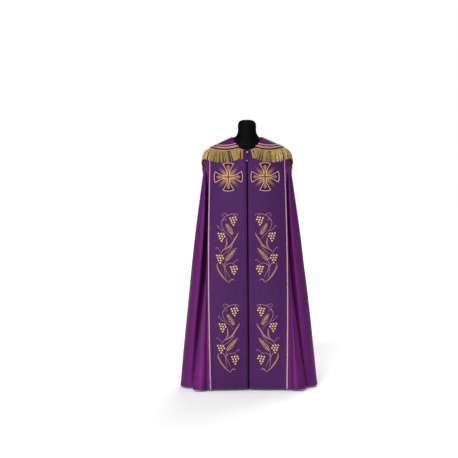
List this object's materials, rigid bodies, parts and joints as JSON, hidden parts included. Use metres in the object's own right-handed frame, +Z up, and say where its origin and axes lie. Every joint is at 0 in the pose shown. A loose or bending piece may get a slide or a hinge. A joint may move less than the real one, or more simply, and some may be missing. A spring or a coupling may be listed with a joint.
{
  "type": "cope vestment on a limbless dress form",
  "caption": "Purple satin priest's cope with straight orphreys, fringed shield-shaped hood and breast tab, hanging in soft folds on a slim limbless dress form.",
  "frame": {"origin": "centre of the underside of the dress form's round base, on the floor", "axes": "+Z up; -Y is the wearer's front, where the cope opens; +X is the wearer's left"},
  "size_m": [0.845, 0.654, 1.64],
  "materials": {
    "mantle_satin": "soft satin, lined",
    "orphrey_satin": "smooth satin, bluer purple",
    "gold_braid": "narrow woven metallic braid",
    "galloon": "patterned woven galloon",
    "gold_fringe": "twisted gold thread",
    "clasp_metal": "polished",
    "form_cloth": "black jersey cover",
    "form_stand": "black powder coat"
  },
  "bodies": {
    "root": {"mantle_back_left": "mantle_satin", "mantle_back_right": "mantle_satin", "mantle_side_left": "mantle_satin", "mantle_side_right": "mantle_satin", "orphrey_left": "orphrey_satin", "orphrey_right": "orphrey_satin", "orphrey_braid_left": "gold_braid", "orphrey_braid_right": "gold_braid", "hood": "mantle_satin", "hood_braid": "gold_braid", "hood_galloon": "galloon", "fringe": "gold_fringe", "morse_tab": "mantle_satin", "clasp_upper": "clasp_metal", "clasp_lower": "clasp_metal", "form_torso": "form_cloth", "form_pole": "form_stand", "form_base": "form_stand"}
  },
  "joints": []
}
